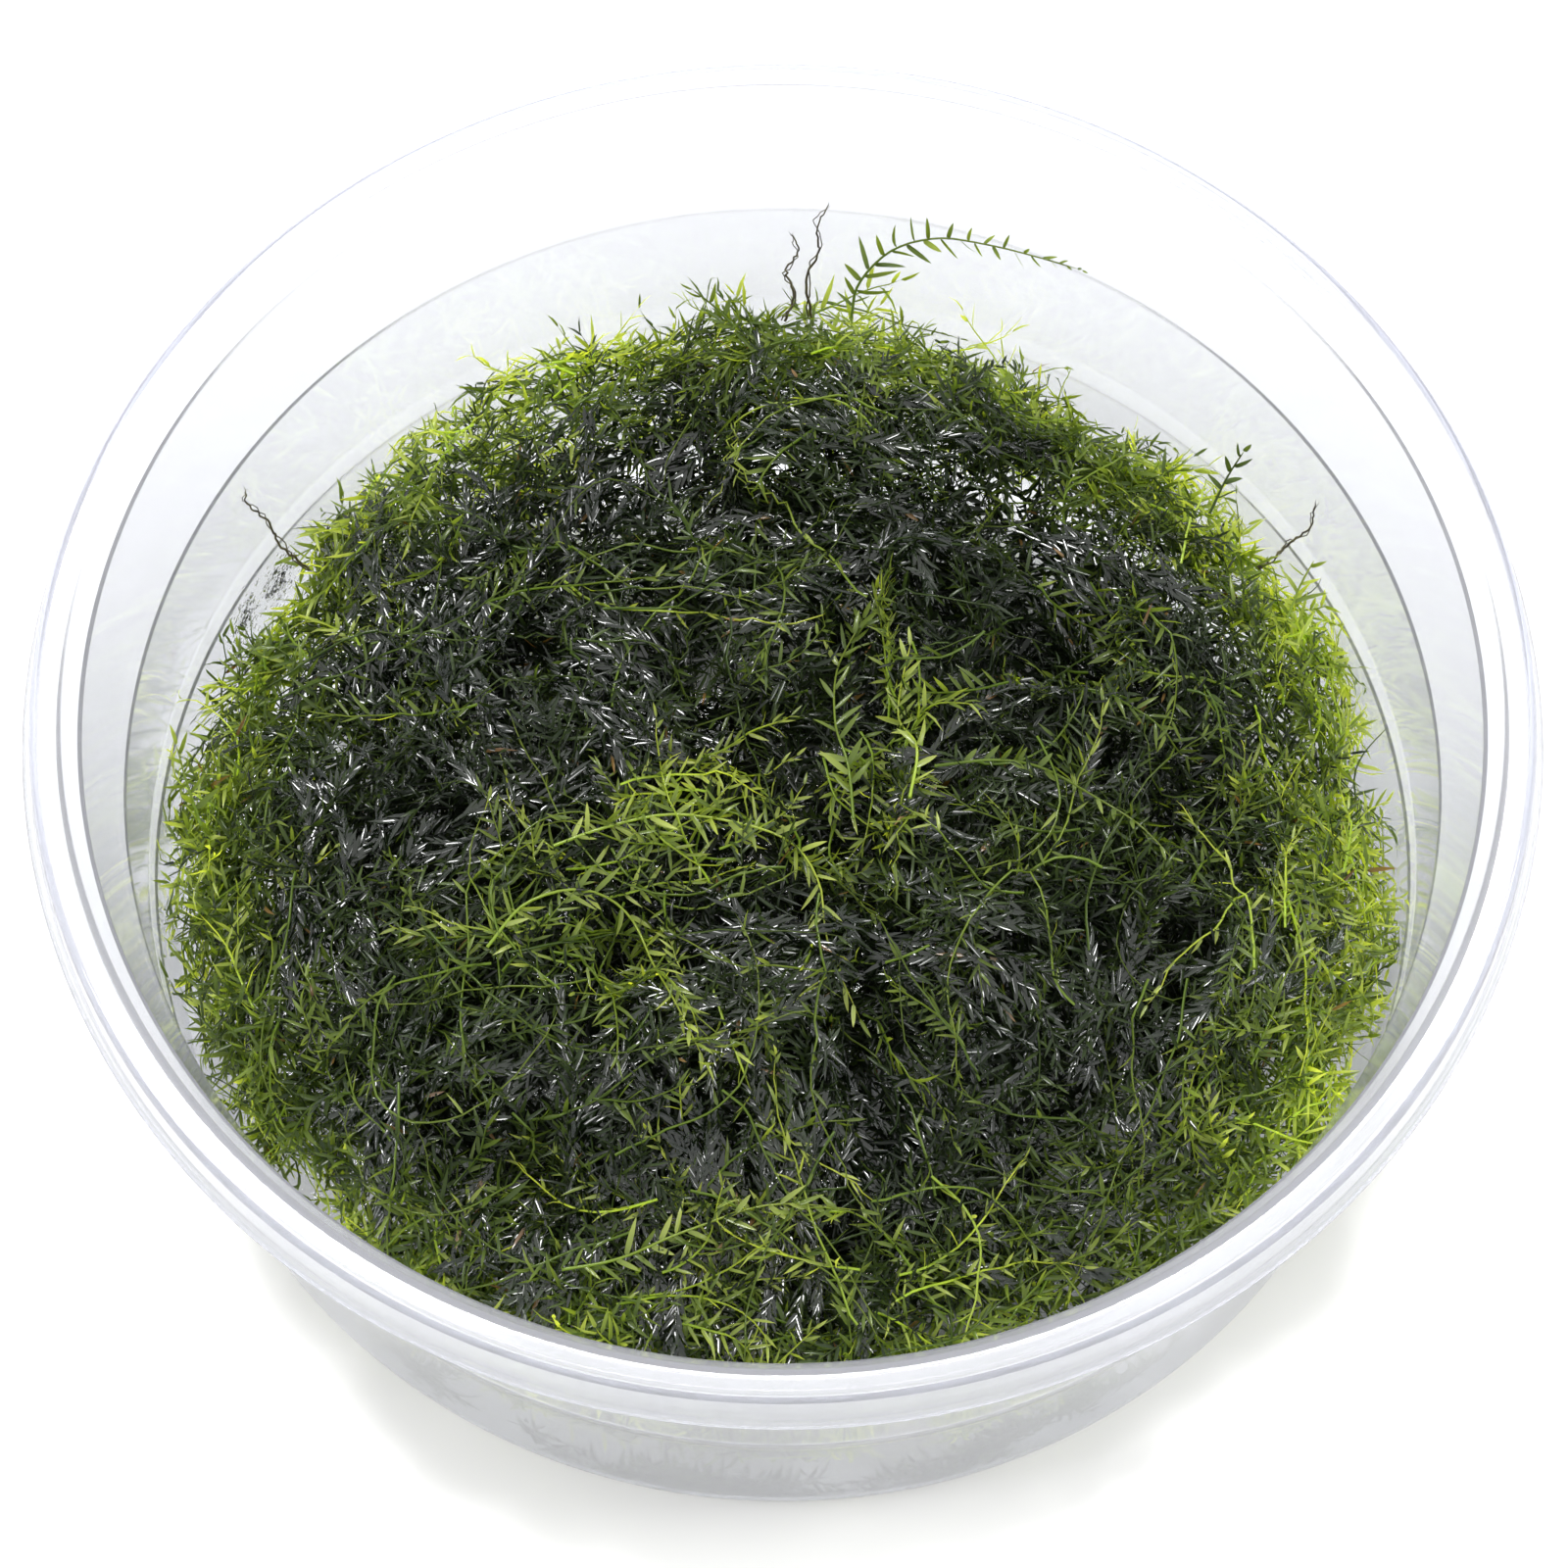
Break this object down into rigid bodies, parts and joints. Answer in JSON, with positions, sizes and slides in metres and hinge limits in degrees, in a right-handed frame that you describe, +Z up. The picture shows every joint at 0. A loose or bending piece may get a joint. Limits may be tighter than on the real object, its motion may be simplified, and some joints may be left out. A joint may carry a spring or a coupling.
{
  "type": "moss clump in a clear cup",
  "caption": "Dense tangle of wet, two-ranked leafy moss shoots, domed, resting in an open clear round plastic cup with a rolled snap rim and two stacking steps.",
  "frame": {"origin": "centre of the cup's underside, on the surface it stands on", "axes": "+Z up along the cup's axis; +Y is the back, where the single shoot arches out; -Y is the front"},
  "size_m": [0.117, 0.117, 0.045],
  "materials": {
    "clear_plastic": "clear, slightly milky thin moulded plastic, smooth and glossy",
    "moss": "wet dark green leaves, glossy, with light coming through the thin ones",
    "young_shoot": "bright yellow-green young leaves, damp",
    "bare_stem": "dark brown wiry bare stem"
  },
  "bodies": {
    "root": {"cup": "clear_plastic", "moss_mat": "moss", "arching_shoot": "young_shoot", "back_tuft": "young_shoot", "right_tuft": "young_shoot", "left_wall_shoot": "young_shoot", "right_wall_shoot": "young_shoot", "top_shoot_1": "young_shoot", "top_shoot_2": "young_shoot", "top_shoot_3": "young_shoot", "top_shoot_4": "young_shoot", "top_shoot_5": "young_shoot", "top_shoot_6": "young_shoot", "back_stem_short": "bare_stem", "back_stem_tall": "bare_stem", "left_stem": "bare_stem", "right_stem": "bare_stem"}
  },
  "joints": []
}
